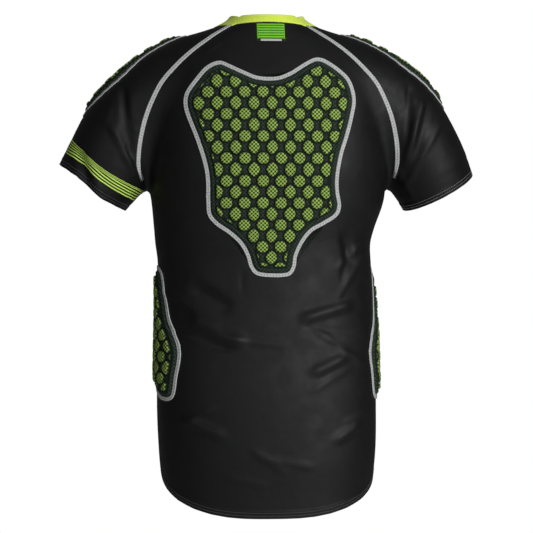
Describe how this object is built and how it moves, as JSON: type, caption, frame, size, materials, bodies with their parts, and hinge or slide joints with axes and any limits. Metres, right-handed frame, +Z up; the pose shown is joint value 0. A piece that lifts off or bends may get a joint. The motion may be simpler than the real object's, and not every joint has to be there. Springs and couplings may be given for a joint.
{
  "type": "padded compression shirt",
  "caption": "Short-sleeved raglan compression shirt, filled out as worn, with foam cell pads on the back, shoulders and sides, taped seams and a low neckband.",
  "frame": {"origin": "middle of the neck opening, level with the points where the neck meets the shoulders", "axes": "+Z up the wearer's body, +Y to the wearer's back, +X to the wearer's left"},
  "size_m": [0.6118, 0.2376, 0.7281],
  "materials": {
    "black_fabric": "smooth knit with a soft sheen",
    "lime_fabric": "ribbed knit",
    "label_fabric": "woven",
    "foam_under_mesh": "lime foam seen through an open black mesh",
    "grey_tape": "flat stitched tape"
  },
  "bodies": {
    "root": {"back": "black_fabric", "front": "black_fabric", "sleeve_left": "black_fabric", "sleeve_right": "black_fabric", "collar": "lime_fabric", "neck_label": "label_fabric", "back_pad": "foam_under_mesh", "side_pad_left": "foam_under_mesh", "side_pad_right": "foam_under_mesh", "shoulder_pad_left": "foam_under_mesh", "shoulder_pad_right": "foam_under_mesh", "back_pad_tape": "grey_tape", "side_pad_tape_left": "grey_tape", "side_pad_tape_right": "grey_tape", "shoulder_pad_tape_left": "grey_tape", "shoulder_pad_tape_right": "grey_tape", "raglan_tape_back_left": "grey_tape", "raglan_tape_back_right": "grey_tape", "raglan_tape_front_left": "grey_tape", "raglan_tape_front_right": "grey_tape"}
  },
  "joints": []
}
